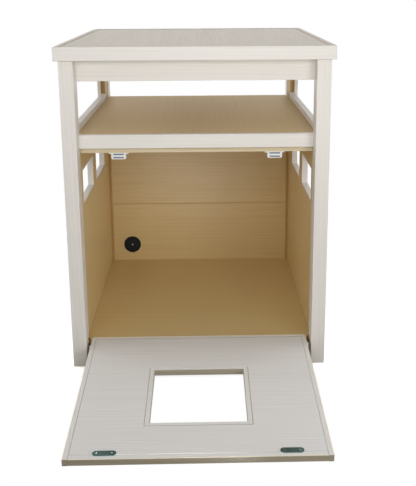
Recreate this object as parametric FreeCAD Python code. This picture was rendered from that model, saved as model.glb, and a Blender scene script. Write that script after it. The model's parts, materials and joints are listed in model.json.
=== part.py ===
import FreeCAD, Part
import math
import os

from FreeCAD import Vector

# Cat litter box cabinet with an open bay, a shelf and a drop-front door, drawn with the door let down.
# Millimetres. X runs to the right, Y from the front to the back and Z up, from the ground.
# While it is drawn, Y is 0 at the front faces of the posts. Each finished piece is then moved so
# that the origin lies on the ground, midway between the tip of the open door and the back edge.

# ---- driving dimensions: outside ----
TOP_WIDTH = 610.0
TOP_DEPTH = 722.0
HEIGHT = 744.0
TOP_OVERHANG = 9.0

# ---- driving dimensions: top ----
RIM_HEIGHT = 30.0
RIM_THICKNESS = 13.0
RIM_LEDGE = 38.0
RIM_PROUD = 1.5
TOP_PANEL_THICKNESS = 16.5

# ---- driving dimensions: posts ----
POST_WIDTH = 32.0
POST_DEPTH = 49.0
POST_LIP = 10.0
SIDE_GROOVE_WIDTH = 12.0
SIDE_GROOVE_DEPTH = 8.0
BACK_GROOVE_LIP = 3.0
BACK_GROOVE_DEPTH = 6.0

# ---- driving dimensions: rails and boards ----
RAIL_THICKNESS = 13.0
APRON_HEIGHT = 48.0
SIDE_THICKNESS = 15.0
BACK_THICKNESS = 12.0
PANEL_FOOT = 20.0
BACK_SEAM = 222.0
TENON_LENGTH = 6.0
TENON_SHOULDER = 3.0

# ---- driving dimensions: shelf and floor ----
SHELF_TOP = 546.0
SHELF_THICKNESS = 15.0
SHELF_RAIL_HEIGHT = 31.0
SIDE_RAIL_RISE = 14.0
STOP_DROP = 13.0
STOP_THICKNESS = 15.0
FLOOR_TOP = 42.5
FLOOR_THICKNESS = 15.0
TONGUE_LENGTH = 5.0
TONGUE_SHOULDER = 4.0

# ---- driving dimensions: side windows ----
WINDOW_START = 70.0
WINDOW_LENGTH = 184.0
WINDOW_HEIGHT = 77.0
WINDOW_SILL = 369.0
WINDOW_SPACING = 62.0
LINER_WALL = 3.0

# ---- driving dimensions: door ----
DOOR_THICKNESS = 14.0
DOOR_SIDE_GAP = 8.0
DOOR_TOP_GAP = 3.5
DOOR_BOTTOM = 37.0
DOOR_SIDE_STRIP = 10.0
DOOR_TIP_STRIP = 13.0
DOOR_HINGE_STRIP = 11.0
DOOR_SEAM = 310.0
DOOR_WINDOW_WIDTH = 197.0
DOOR_WINDOW_HEIGHT = 202.0
DOOR_WINDOW_RISE = 157.5
DOOR_FRAME = 10.5
DOOR_CORNER_ROUND = 8.0

# ---- driving dimensions: pivots ----
PIVOT_RISE = 7.5
PIN_RADIUS = 2.5
PIN_IN_DOOR = 16.0
BUSH_RADIUS = 4.0
BUSH_IN_POST = 8.0
BUSH_FLANGE_RADIUS = 9.0
BUSH_FLANGE = 2.0

# ---- driving dimensions: catches and strike plates ----
CATCH_INSET = 78.0
CATCH_WIDTH = 33.5
CATCH_HEIGHT = 15.0
CATCH_DEPTH = 18.0
CATCH_ROUND = 3.0
FLANGE_WIDTH = 46.0
FLANGE_DEPTH = 11.0
FLANGE_THICKNESS = 2.5
POLE_WIDTH = 24.0
POLE_THICKNESS = 2.8
POLE_SPACING = 7.6
POLE_PROUD = 1.0
MAGNET_WIDTH = 20.0
MAGNET_DEPTH = 12.0
CATCH_WALL = 2.0
STRIKE_LENGTH = 45.5
STRIKE_WIDTH = 15.0
STRIKE_THICKNESS = 1.5
STRIKE_SCREW_SPACING = 30.0
SCREW_RADIUS = 1.4
SCREW_HEAD_RADIUS = 2.8
SCREW_HEAD_HEIGHT = 1.4
SCREW_LENGTH = 9.0

# ---- driving dimensions: cord plug ----
PLUG_INSET = 56.0
PLUG_Z = 93.0
PLUG_FLANGE_RADIUS = 25.5
PLUG_SLEEVE_RADIUS = 22.0
PLUG_WALL = 1.8
PLUG_FLANGE = 3.0
PLUG_CAP = 2.0
PLUG_NUB_RADIUS = 2.6
PLUG_RELIEF = 0.8

# ---- edges and clearances ----
EDGE_ROUND = 1.5
JOINT_BEVEL = 1.2
FIT = 0.1
RUN_GAP = 0.4
PIN_GAP = 0.05

# ---- places: width ----
RIM_OUT = TOP_WIDTH / 2
RIM_IN = RIM_OUT - RIM_THICKNESS
POST_OUT = RIM_OUT - TOP_OVERHANG
POST_IN = POST_OUT - POST_WIDTH
GROOVE_OUT = POST_OUT - POST_LIP
GROOVE_IN = GROOVE_OUT - SIDE_GROOVE_WIDTH
SIDE_OUT = GROOVE_OUT - FIT
SIDE_IN = SIDE_OUT - SIDE_THICKNESS
BOARD_OUT = SIDE_IN - FIT
DOOR_OUT = POST_IN - DOOR_SIDE_GAP
DOOR_CORE = DOOR_OUT - DOOR_SIDE_STRIP
CATCH_OFFSET = DOOR_OUT - CATCH_INSET
PLUG_X = PLUG_INSET - POST_IN

# ---- places: depth ----
BODY_DEPTH = TOP_DEPTH - 2 * TOP_OVERHANG
RIM_FRONT = -TOP_OVERHANG
RIM_BACK = RIM_FRONT + TOP_DEPTH
REAR_FACE = BODY_DEPTH - POST_DEPTH
RAIL_FRONT = POST_DEPTH - RAIL_THICKNESS
BACK_FACE = REAR_FACE + BACK_GROOVE_LIP
DOOR_FACE = RAIL_FRONT
DOOR_INNER = DOOR_FACE + DOOR_THICKNESS
POLE_FACE = DOOR_INNER + STRIKE_THICKNESS + RUN_GAP
STOP_FACE = POLE_FACE
CATCH_FACE = POLE_FACE + POLE_PROUD

# ---- places: height ----
POST_TOP = HEIGHT - RIM_HEIGHT
PANEL_TOP = HEIGHT - RIM_PROUD
LEDGE_TOP = PANEL_TOP - TOP_PANEL_THICKNESS
APRON_BOTTOM = POST_TOP - APRON_HEIGHT
SHELF_BOTTOM = SHELF_TOP - SHELF_THICKNESS
RAIL_BOTTOM = SHELF_TOP - SHELF_RAIL_HEIGHT
SIDE_RAIL_TOP = SHELF_TOP + SIDE_RAIL_RISE
STOP_BOTTOM = RAIL_BOTTOM - STOP_DROP
FLOOR_BOTTOM = FLOOR_TOP - FLOOR_THICKNESS
CATCH_MIDDLE = STOP_BOTTOM - CATCH_HEIGHT / 2
DOOR_TOP = RAIL_BOTTOM - DOOR_TOP_GAP
DOOR_WINDOW_LOW = DOOR_BOTTOM + DOOR_WINDOW_RISE
DOOR_WINDOW_HIGH = DOOR_WINDOW_LOW + DOOR_WINDOW_HEIGHT

# ---- the pivot, and how far the door turns from closed until its tip lies on the ground ----
PIVOT_Y = DOOR_FACE + DOOR_THICKNESS / 2
PIVOT_Z = DOOR_BOTTOM + PIVOT_RISE
HEEL_RADIUS = math.hypot(DOOR_THICKNESS / 2, PIVOT_RISE)
FLOOR_FRONT = PIVOT_Y + HEEL_RADIUS + 2 * RUN_GAP
TIP_REACH = DOOR_TOP - PIVOT_Z
TIP_LEAN = math.atan2(DOOR_FACE - PIVOT_Y, TIP_REACH)
TIP_RADIUS = math.hypot(DOOR_FACE - PIVOT_Y, TIP_REACH)
OPEN_ANGLE = TIP_LEAN + math.acos(-PIVOT_Z / TIP_RADIUS)

# ---- the origin: midway between the tip of the open door and the back edge of the top ----
DOOR_TIP_Y = (
    PIVOT_Y
    + (DOOR_INNER - PIVOT_Y) * math.cos(OPEN_ANGLE)
    - TIP_REACH * math.sin(OPEN_ANGLE)
)
DOOR_TOE_Y = (
    PIVOT_Y
    + (DOOR_FACE - PIVOT_Y) * math.cos(OPEN_ANGLE)
    - TIP_REACH * math.sin(OPEN_ANGLE)
)
ORIGIN_Y = (min(DOOR_TIP_Y, DOOR_TOE_Y) + RIM_BACK) / 2

AXIS_X = Vector(1, 0, 0)
AXIS_Y = Vector(0, 1, 0)
AXIS_Z = Vector(0, 0, 1)


def block(x0, x1, y0, y1, z0, z1):
    """A box between two corners."""
    return Part.makeBox(x1 - x0, y1 - y0, z1 - z0, Vector(x0, y0, z0))


def rod(x, y, z, radius, length, axis):
    """A cylinder that starts at a point and runs along an axis."""
    return Part.makeCylinder(radius, length, Vector(x, y, z), axis)


def prism(outline, start, length, axis):
    """A straight solid whose section is a closed outline of points in the plane across its axis."""
    if axis == AXIS_Z:
        points = [Vector(u, v, start) for u, v in outline]
    else:
        points = [Vector(start, u, v) for u, v in outline]
    face = Part.Face(Part.makePolygon(points + points[:1]))
    return face.extrude(axis * length)


def edges_along(shape, axis):
    """The straight edges of a shape that run along an axis."""
    found = []
    for edge in shape.Edges:
        run = edge.Vertexes[-1].Point - edge.Vertexes[0].Point
        if run.Length > FIT and run.cross(axis).Length < FIT:
            found.append(edge)
    return found


def mirrored(shape):
    """The same piece for the other side of the cabinet."""
    return shape.mirror(Vector(0, 0, 0), AXIS_X)


def opened(shape):
    """A door piece, drawn closed and turned down about the pivots."""
    turned = shape.copy()
    turned.rotate(Vector(0, PIVOT_Y, PIVOT_Z), AXIS_X, math.degrees(OPEN_ANGLE))
    return turned


# ---- posts ----
def tenon_span(rail_front, z0, z1, reach, slack):
    """The block that a rail's tenon fills on the right, or with slack its mortise."""
    return block(
        POST_IN - slack, POST_IN + reach + slack,
        rail_front + TENON_SHOULDER - slack, rail_front + RAIL_THICKNESS - TENON_SHOULDER + slack,
        z0 + TENON_SHOULDER - slack, z1 - TENON_SHOULDER + slack,
    )


def post_blank(y0):
    """A post of the right side before its grooves, with its four long edges eased."""
    blank = block(POST_IN, POST_OUT, y0, y0 + POST_DEPTH, 0, POST_TOP)
    return blank.makeFillet(EDGE_ROUND, edges_along(blank, AXIS_Z))


def front_post():
    """The right front post: a groove for the side boards, mortises and the bore for the bush."""
    post = post_blank(0)
    groove = block(GROOVE_IN, GROOVE_OUT, POST_DEPTH - SIDE_GROOVE_DEPTH, POST_DEPTH, 0, POST_TOP)
    apron = tenon_span(RAIL_FRONT, APRON_BOTTOM, POST_TOP, TENON_LENGTH, FIT)
    rail = tenon_span(RAIL_FRONT, RAIL_BOTTOM, SHELF_TOP, TENON_LENGTH, FIT)
    bore = rod(POST_IN, PIVOT_Y, PIVOT_Z, BUSH_RADIUS + FIT, BUSH_IN_POST + FIT, AXIS_X)
    return post.cut([groove, apron, rail, bore])


def rear_post():
    """The right rear post: grooves for the side boards and the back boards, and a mortise."""
    post = post_blank(REAR_FACE)
    groove = block(GROOVE_IN, GROOVE_OUT, REAR_FACE, REAR_FACE + SIDE_GROOVE_DEPTH, 0, POST_TOP)
    back = block(
        POST_IN, POST_IN + BACK_GROOVE_DEPTH,
        BACK_FACE - FIT, BACK_FACE + BACK_THICKNESS + FIT, PANEL_FOOT - FIT, SHELF_BOTTOM + FIT,
    )
    apron = tenon_span(REAR_FACE, APRON_BOTTOM, POST_TOP, TENON_LENGTH, FIT)
    return post.cut([groove, back, apron])


# ---- top ----
def rim_board(length, depth):
    """A rim board along X with its outer face at Y 0: an upright edge, a ledge and mitred ends."""
    section = [
        (0, POST_TOP), (RIM_THICKNESS + RIM_LEDGE, POST_TOP), (RIM_THICKNESS + RIM_LEDGE, LEDGE_TOP),
        (RIM_THICKNESS, LEDGE_TOP), (RIM_THICKNESS, HEIGHT), (0, HEIGHT),
    ]
    bar = prism(section, -length / 2, length, AXIS_X)
    outer = [e for e in edges_along(bar, AXIS_X) if abs(e.CenterOfMass.y) < FIT]
    bar = bar.makeFillet(EDGE_ROUND, outer)
    mitre = [
        (-length / 2, 0), (length / 2, 0),
        (length / 2 - depth, depth), (depth - length / 2, depth),
    ]
    return bar.common(prism(mitre, POST_TOP, RIM_HEIGHT, AXIS_Z))


def turned_board(board, degrees, x, y):
    """A rim board turned about Z and put in its place."""
    placed = board.copy()
    placed.rotate(Vector(0, 0, 0), AXIS_Z, degrees)
    placed.translate(Vector(x, y, 0))
    return placed


def rims():
    """The four rim boards round the top."""
    depth = RIM_THICKNESS + RIM_LEDGE
    wide = rim_board(TOP_WIDTH, depth)
    deep = rim_board(TOP_DEPTH, depth)
    middle = (RIM_FRONT + RIM_BACK) / 2
    return {
        "rim_front": turned_board(wide, 0, 0, RIM_FRONT),
        "rim_rear": turned_board(wide, 180, 0, RIM_BACK),
        "rim_right": turned_board(deep, 90, RIM_OUT, middle),
        "rim_left": turned_board(deep, -90, -RIM_OUT, middle),
    }


def top_panel():
    """The inset panel that lies on the ledges of the rim, bevelled along its upper edges."""
    half = RIM_IN - FIT
    y0 = RIM_FRONT + RIM_THICKNESS + FIT
    y1 = RIM_BACK - RIM_THICKNESS - FIT
    panel = block(-half, half, y0, y1, LEDGE_TOP, PANEL_TOP)
    upper = [e for e in panel.Edges if abs(e.CenterOfMass.z - PANEL_TOP) < FIT]
    return panel.makeChamfer(JOINT_BEVEL, upper)


# ---- rails ----
def cross_rail(y0, z0, z1):
    """A rail between two posts, with a stub tenon at each end."""
    body = block(-POST_IN, POST_IN, y0, y0 + RAIL_THICKNESS, z0, z1)
    tenon = tenon_span(y0, z0, z1, TENON_LENGTH, 0)
    return body.fuse([tenon, mirrored(tenon)]).removeSplitter()


def side_board(z0, z1):
    """A board of the right side between two posts, with a tongue in each post's groove."""
    tongue = SIDE_GROOVE_DEPTH - FIT
    tongue_in = GROOVE_IN + FIT
    outline = [
        (SIDE_OUT, POST_DEPTH - tongue), (SIDE_OUT, REAR_FACE + tongue),
        (tongue_in, REAR_FACE + tongue), (tongue_in, REAR_FACE), (SIDE_IN, REAR_FACE),
        (SIDE_IN, POST_DEPTH), (tongue_in, POST_DEPTH), (tongue_in, POST_DEPTH - tongue),
    ]
    return prism(outline, z0, z1 - z0, AXIS_Z)


def tongue_span(z0, z1, y0, y1, slack):
    """The block of the tongue on a level board's right edge, or with slack its groove."""
    return block(
        BOARD_OUT - slack, SIDE_IN + TONGUE_LENGTH + slack, y0, y1,
        z0 + TONGUE_SHOULDER - slack, z1 - TONGUE_SHOULDER + slack,
    )


def shelf_side_rail():
    """The right rail at the shelf, which stands proud of it and holds its tongue."""
    groove = tongue_span(SHELF_BOTTOM, SHELF_TOP, POST_DEPTH, REAR_FACE, FIT)
    return side_board(RAIL_BOTTOM, SIDE_RAIL_TOP).cut(groove)


# ---- chamber ----
def window_starts():
    """Where each side window starts, behind the front post."""
    first = POST_DEPTH + WINDOW_START
    return [first, first + WINDOW_LENGTH + WINDOW_SPACING]


def window_span(y0, grow):
    """The block through the right side board at a window, grown all round by a margin."""
    return block(
        SIDE_IN, SIDE_OUT, y0 - grow, y0 + WINDOW_LENGTH + grow,
        WINDOW_SILL - grow, WINDOW_SILL + WINDOW_HEIGHT + grow,
    )


def side_panel():
    """The right side board of the chamber, with two windows and the groove for the floor."""
    cuts = [window_span(y0, LINER_WALL) for y0 in window_starts()]
    cuts.append(tongue_span(FLOOR_BOTTOM, FLOOR_TOP, POST_DEPTH, REAR_FACE, FIT))
    return side_board(PANEL_FOOT, RAIL_BOTTOM).cut(cuts)


def window_liner(y0):
    """The frame that lines a window of the right side."""
    return window_span(y0, LINER_WALL).cut(window_span(y0, 0))


def level_board(y0, y1, z0, z1):
    """A board with a tongue in each side that runs on between the rear posts."""
    narrow = POST_IN - FIT
    notch = REAR_FACE - FIT
    outline = [
        (-BOARD_OUT, y0), (BOARD_OUT, y0), (BOARD_OUT, notch), (narrow, notch),
        (narrow, y1), (-narrow, y1), (-narrow, notch), (-BOARD_OUT, notch),
    ]
    tongue = tongue_span(z0, z1, y0, notch, 0)
    return prism(outline, z0, z1 - z0, AXIS_Z).fuse([tongue, mirrored(tongue)])


def back_board(z0, z1, seam_z):
    """A back board in the grooves of the rear posts, with its inner edge bevelled at the seam."""
    half = POST_IN + BACK_GROOVE_DEPTH - FIT
    board = block(-half, half, BACK_FACE, BACK_FACE + BACK_THICKNESS, z0, z1)
    seam = [
        e for e in edges_along(board, AXIS_X)
        if abs(e.CenterOfMass.z - seam_z) < FIT and abs(e.CenterOfMass.y - BACK_FACE) < FIT
    ]
    return board.makeChamfer(JOINT_BEVEL, seam)


def lower_back_board():
    """The lower back board, bored for the cord plug."""
    board = back_board(PANEL_FOOT, BACK_SEAM, BACK_SEAM)
    hole = rod(PLUG_X, BACK_FACE, PLUG_Z, PLUG_SLEEVE_RADIUS + FIT, BACK_THICKNESS, AXIS_Y)
    return board.cut(hole)


# ---- cord plug ----
def turned_about_plug(outline):
    """A ring or disc made by turning an outline of (radius, depth from the back board's face)."""
    points = [Vector(PLUG_X + r, BACK_FACE + d, PLUG_Z) for r, d in outline]
    face = Part.Face(Part.makePolygon(points + points[:1]))
    return face.revolve(Vector(PLUG_X, 0, PLUG_Z), AXIS_Y, 360)


def plug_ring():
    """The plug's ring: a bevelled flange on the board and a sleeve through it."""
    inner = PLUG_SLEEVE_RADIUS - PLUG_WALL
    return turned_about_plug([
        (inner, -PLUG_FLANGE), (PLUG_FLANGE_RADIUS - PLUG_FLANGE / 2, -PLUG_FLANGE),
        (PLUG_FLANGE_RADIUS, -PLUG_FLANGE / 2), (PLUG_FLANGE_RADIUS, 0),
        (PLUG_SLEEVE_RADIUS, 0), (PLUG_SLEEVE_RADIUS, BACK_THICKNESS), (inner, BACK_THICKNESS),
    ])


def plug_cap():
    """The plug's cap: a disc sunk below the ring's face, with a nub at its middle."""
    radius = PLUG_SLEEVE_RADIUS - PLUG_WALL - FIT
    face = -PLUG_FLANGE + PLUG_RELIEF
    back = face + PLUG_CAP
    return turned_about_plug([
        (0, -PLUG_FLANGE), (PLUG_NUB_RADIUS, -PLUG_FLANGE), (PLUG_NUB_RADIUS + PLUG_RELIEF, face),
        (radius, face), (radius, back), (0, back),
    ])


# ---- catches ----
def ear_hole_places():
    """The two screw holes of the right catch, at the middle of the flange's ears."""
    ear = (FLANGE_WIDTH - CATCH_WIDTH) / 2
    reach = (CATCH_WIDTH + ear) / 2
    y = CATCH_FACE + FLANGE_DEPTH / 2
    return [(CATCH_OFFSET + side * reach, y) for side in (-1, 1)]


def pole_levels():
    """The middles of the two pole plates, from the lower one."""
    return [CATCH_MIDDLE - POLE_SPACING / 2, CATCH_MIDDLE + POLE_SPACING / 2]


def pole_span(z, slack):
    """The block that a pole plate fills in the right catch, or with slack its slot."""
    half = POLE_WIDTH / 2 + slack
    return block(
        CATCH_OFFSET - half, CATCH_OFFSET + half,
        POLE_FACE - slack, CATCH_FACE + CATCH_DEPTH - CATCH_WALL + slack,
        z - POLE_THICKNESS / 2 - slack, z + POLE_THICKNESS / 2 + slack,
    )


def magnet_span(slack):
    """The block that the magnet fills between the pole plates, or with slack its pocket."""
    half = MAGNET_WIDTH / 2 + slack
    reach = (POLE_SPACING - POLE_THICKNESS) / 2
    y0 = CATCH_FACE + CATCH_WALL
    return block(
        CATCH_OFFSET - half, CATCH_OFFSET + half, y0 - slack, y0 + MAGNET_DEPTH + slack,
        CATCH_MIDDLE - reach, CATCH_MIDDLE + reach,
    )


def catch_housing():
    """The right catch's moulded housing: a body with rounded corners, two slots and two ears."""
    half = CATCH_WIDTH / 2
    x0, x1 = CATCH_OFFSET - half, CATCH_OFFSET + half
    body = block(x0, x1, CATCH_FACE, CATCH_FACE + CATCH_DEPTH, STOP_BOTTOM - CATCH_HEIGHT, STOP_BOTTOM)
    low = [e for e in edges_along(body, AXIS_Y) if e.CenterOfMass.z < CATCH_MIDDLE]
    body = body.makeFillet(CATCH_ROUND, low)
    ear = FLANGE_WIDTH / 2
    flange = block(
        CATCH_OFFSET - ear, CATCH_OFFSET + ear, CATCH_FACE, CATCH_FACE + FLANGE_DEPTH,
        STOP_BOTTOM - FLANGE_THICKNESS, STOP_BOTTOM,
    )
    flange = flange.makeFillet(CATCH_ROUND, edges_along(flange, AXIS_Z))
    cuts = [pole_span(z, FIT) for z in pole_levels()] + [magnet_span(FIT)]
    for x, y in ear_hole_places():
        cuts.append(rod(x, y, STOP_BOTTOM - FLANGE_THICKNESS, SCREW_RADIUS + FIT, FLANGE_THICKNESS, AXIS_Z))
    return body.fuse(flange).removeSplitter().cut(cuts)


def stop_strip():
    """The strip behind the front shelf rail that stops the door and carries the catches."""
    half = SIDE_IN - FIT
    return block(-half, half, STOP_FACE, STOP_FACE + STOP_THICKNESS, STOP_BOTTOM, SHELF_BOTTOM)


# ---- door, drawn closed ----
def door_frame_span(grow):
    """The block through the door at its window, grown all round by a margin."""
    half = DOOR_WINDOW_WIDTH / 2 + grow
    return block(
        -half, half, DOOR_FACE, DOOR_INNER, DOOR_WINDOW_LOW - grow, DOOR_WINDOW_HIGH + grow,
    )


def door_frame():
    """The frame that lines the door's window, flush with both faces."""
    return door_frame_span(DOOR_FRAME).cut(door_frame_span(0))


def strike_screw_places():
    """The two screws of the right strike plate."""
    return [CATCH_OFFSET + side * STRIKE_SCREW_SPACING / 2 for side in (-1, 1)]


def door_board(z0, z1):
    """A board of the door round its window, bevelled on its inner face and bored for the strikes."""
    board = block(-DOOR_CORE, DOOR_CORE, DOOR_FACE, DOOR_INNER, z0, z1).cut(door_frame_span(DOOR_FRAME))
    inner = [e for e in board.Edges if abs(e.CenterOfMass.y - DOOR_INNER) < FIT]
    board = board.makeChamfer(JOINT_BEVEL, inner)
    pilots = []
    for x in strike_screw_places():
        pilot = rod(x, DOOR_INNER - SCREW_LENGTH, CATCH_MIDDLE, SCREW_RADIUS + FIT, SCREW_LENGTH, AXIS_Y)
        pilots += [pilot, mirrored(pilot)]
    return board.cut(pilots)


def pin_hole():
    """The hole for the right pin, in the door."""
    return rod(DOOR_OUT - PIN_IN_DOOR, PIVOT_Y, PIVOT_Z, PIN_RADIUS + FIT, PIN_IN_DOOR, AXIS_X)


def door_side_strip():
    """The strip on the right edge of the door, rounded at its lower corner and bored for the pin."""
    strip = block(DOOR_CORE, DOOR_OUT, DOOR_FACE, DOOR_INNER, DOOR_BOTTOM, DOOR_TOP)
    corner = [
        e for e in edges_along(strip, AXIS_Y)
        if e.CenterOfMass.x > DOOR_OUT - FIT and e.CenterOfMass.z < DOOR_BOTTOM + FIT
    ]
    return strip.makeFillet(DOOR_CORNER_ROUND, corner).cut(pin_hole())


def door_hinge_strip():
    """The strip on the lower edge of the door, bored for both pins."""
    z1 = DOOR_BOTTOM + DOOR_HINGE_STRIP
    strip = block(-DOOR_CORE, DOOR_CORE, DOOR_FACE, DOOR_INNER, DOOR_BOTTOM, z1)
    return strip.cut([pin_hole(), mirrored(pin_hole())])


def door_tip_strip():
    """The strip on the upper edge of the door."""
    z0 = DOOR_TOP - DOOR_TIP_STRIP
    return block(-DOOR_CORE, DOOR_CORE, DOOR_FACE, DOOR_INNER, z0, DOOR_TOP)


def strike_plate():
    """The right strike plate: a round-ended steel plate with two countersunk holes."""
    radius = STRIKE_WIDTH / 2
    reach = STRIKE_LENGTH / 2 - radius
    middle = block(
        CATCH_OFFSET - reach, CATCH_OFFSET + reach, DOOR_INNER, DOOR_INNER + STRIKE_THICKNESS,
        CATCH_MIDDLE - radius, CATCH_MIDDLE + radius,
    )
    ends = [
        rod(CATCH_OFFSET + side * reach, DOOR_INNER, CATCH_MIDDLE, radius, STRIKE_THICKNESS, AXIS_Y)
        for side in (-1, 1)
    ]
    plate = middle.fuse(ends).removeSplitter()
    sinks = []
    for x in strike_screw_places():
        outer = Vector(x, DOOR_INNER + STRIKE_THICKNESS, CATCH_MIDDLE)
        sinks.append(Part.makeCone(
            SCREW_HEAD_RADIUS + FIT, SCREW_RADIUS + FIT, STRIKE_THICKNESS, outer, -AXIS_Y,
        ))
    return plate.cut(sinks)


def strike_screw(x):
    """A countersunk screw of the right strike plate, flush with the plate's face."""
    face = Vector(x, DOOR_INNER + STRIKE_THICKNESS, CATCH_MIDDLE)
    head = Part.makeCone(SCREW_HEAD_RADIUS, SCREW_RADIUS, SCREW_HEAD_HEIGHT, face, -AXIS_Y)
    shank = Part.makeCylinder(SCREW_RADIUS, SCREW_LENGTH, face, -AXIS_Y)
    return head.fuse(shank).removeSplitter()


# ---- pivots ----
def pivot_pin():
    """The right pin: fixed in the door, it turns in the bush."""
    length = PIN_IN_DOOR + DOOR_SIDE_GAP + BUSH_IN_POST - RUN_GAP
    return rod(DOOR_OUT - PIN_IN_DOOR, PIVOT_Y, PIVOT_Z, PIN_RADIUS, length, AXIS_X)


def pivot_bush():
    """The right bush: a sleeve in the post with a flange on its face and a neck up to the door."""
    start = DOOR_OUT + RUN_GAP
    sleeve = rod(start, PIVOT_Y, PIVOT_Z, BUSH_RADIUS, POST_IN + BUSH_IN_POST - start, AXIS_X)
    flange = rod(POST_IN - BUSH_FLANGE, PIVOT_Y, PIVOT_Z, BUSH_FLANGE_RADIUS, BUSH_FLANGE, AXIS_X)
    bore = rod(start, PIVOT_Y, PIVOT_Z, PIN_RADIUS + PIN_GAP, POST_IN + BUSH_IN_POST - start, AXIS_X)
    return sleeve.fuse(flange).removeSplitter().cut(bore)


def pair(name, right_solid):
    """The right and left pieces of a pair, by name."""
    return {name + "_right": right_solid, name + "_left": mirrored(right_solid)}


def cabinet_pieces():
    """Every piece that stays still."""
    pieces = {}
    pieces.update(pair("post_front", front_post()))
    pieces.update(pair("post_rear", rear_post()))
    pieces.update(rims())
    pieces["top_panel"] = top_panel()
    pieces["apron_front"] = cross_rail(RAIL_FRONT, APRON_BOTTOM, POST_TOP)
    pieces["apron_rear"] = cross_rail(REAR_FACE, APRON_BOTTOM, POST_TOP)
    pieces.update(pair("apron_side", side_board(APRON_BOTTOM, POST_TOP)))
    pieces["shelf_panel"] = level_board(POST_DEPTH, BODY_DEPTH, SHELF_BOTTOM, SHELF_TOP)
    pieces["shelf_rail_front"] = cross_rail(RAIL_FRONT, RAIL_BOTTOM, SHELF_TOP)
    pieces.update(pair("shelf_rail_side", shelf_side_rail()))
    pieces["stop_strip"] = stop_strip()
    pieces.update(pair("side_panel", side_panel()))
    for place, y0 in zip(("front", "rear"), window_starts()):
        pieces.update(pair("window_liner_" + place, window_liner(y0)))
    pieces["back_board_lower"] = lower_back_board()
    pieces["back_board_upper"] = back_board(BACK_SEAM, SHELF_BOTTOM, BACK_SEAM)
    pieces["floor_panel"] = level_board(FLOOR_FRONT, BACK_FACE, FLOOR_BOTTOM, FLOOR_TOP)
    pieces["plug_ring"] = plug_ring()
    pieces["plug_cap"] = plug_cap()
    pieces.update(pair("catch_housing", catch_housing()))
    poles = Part.makeCompound([pole_span(z, 0) for z in pole_levels()])
    pieces.update(pair("catch_poles", poles))
    pieces.update(pair("catch_magnet", magnet_span(0)))
    pieces.update(pair("pivot_bush", pivot_bush()))
    return pieces


def door_pieces():
    """Every piece of the door, drawn closed."""
    pieces = {}
    hinge_end = DOOR_BOTTOM + DOOR_HINGE_STRIP
    seam = DOOR_BOTTOM + DOOR_SEAM
    pieces["door_board_lower"] = door_board(hinge_end, seam)
    pieces["door_board_upper"] = door_board(seam, DOOR_TOP - DOOR_TIP_STRIP)
    pieces.update(pair("door_strip", door_side_strip()))
    pieces["door_strip_tip"] = door_tip_strip()
    pieces["door_strip_hinge"] = door_hinge_strip()
    pieces["door_window_frame"] = door_frame()
    pieces.update(pair("strike_plate", strike_plate()))
    screws = [strike_screw(x) for x in strike_screw_places()]
    pieces["strike_screws"] = Part.makeCompound(screws + [mirrored(s) for s in screws])
    pieces.update(pair("pivot_pin", pivot_pin()))
    return pieces


def export(name, shape):
    """Write one piece, moved to the origin."""
    placed = shape.copy()
    placed.translate(Vector(0, -ORIGIN_Y, 0))
    placed.exportStep(os.path.join("parts", name + ".step"))


def main():
    """Build and write every piece."""
    os.makedirs("parts", exist_ok=True)
    pieces = cabinet_pieces()
    pieces.update({name: opened(shape) for name, shape in door_pieces().items()})
    for name, shape in pieces.items():
        export(name, shape)
    print("pieces", len(pieces))
    print("door opens by", round(math.degrees(OPEN_ANGLE), 2), "degrees")
    print("origin y", round(ORIGIN_Y, 3))


main()
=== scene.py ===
"""Finishes and small fittings of a cat litter box cabinet with an open bay and a drop-front door.

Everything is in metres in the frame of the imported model: X to the right, Y from the front to the
back, Z up from the ground. The door is let down, with its tip on the ground.
"""

import json
import logging
import math
from collections.abc import Callable
from dataclasses import dataclass
from enum import Enum
from typing import Any

import bmesh
import bpy
from mathutils import Euler, Matrix, Vector

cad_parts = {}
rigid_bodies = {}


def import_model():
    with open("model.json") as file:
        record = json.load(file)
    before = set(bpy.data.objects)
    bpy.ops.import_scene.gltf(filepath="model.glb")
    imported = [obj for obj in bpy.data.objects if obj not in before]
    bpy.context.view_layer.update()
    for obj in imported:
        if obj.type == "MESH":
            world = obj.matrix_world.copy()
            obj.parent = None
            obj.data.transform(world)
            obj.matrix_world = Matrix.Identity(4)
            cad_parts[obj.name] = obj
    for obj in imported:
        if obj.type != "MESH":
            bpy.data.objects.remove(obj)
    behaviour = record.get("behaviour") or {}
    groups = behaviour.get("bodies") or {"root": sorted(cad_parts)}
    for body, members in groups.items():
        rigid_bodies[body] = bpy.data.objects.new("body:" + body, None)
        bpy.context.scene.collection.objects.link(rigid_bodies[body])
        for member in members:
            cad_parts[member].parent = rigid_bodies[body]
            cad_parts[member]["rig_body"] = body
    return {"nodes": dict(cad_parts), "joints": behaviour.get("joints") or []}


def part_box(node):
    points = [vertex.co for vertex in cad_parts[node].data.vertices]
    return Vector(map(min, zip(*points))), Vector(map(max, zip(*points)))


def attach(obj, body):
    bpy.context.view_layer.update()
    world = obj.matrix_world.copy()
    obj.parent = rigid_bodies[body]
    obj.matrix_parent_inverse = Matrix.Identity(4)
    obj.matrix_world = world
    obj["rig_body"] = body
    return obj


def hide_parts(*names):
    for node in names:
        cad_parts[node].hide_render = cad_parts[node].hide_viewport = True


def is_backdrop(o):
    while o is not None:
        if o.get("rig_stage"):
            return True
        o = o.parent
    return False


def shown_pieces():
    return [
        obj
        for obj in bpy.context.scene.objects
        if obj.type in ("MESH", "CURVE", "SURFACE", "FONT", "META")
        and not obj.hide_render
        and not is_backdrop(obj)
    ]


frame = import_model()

LOG = logging.getLogger("cabinet")
MM = 0.001
UP = Vector((0, 0, 1))

# The sides of the cabinet, each with the sign of X there.
SIDES: dict[str, int] = {"right": 1, "left": -1}

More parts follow.
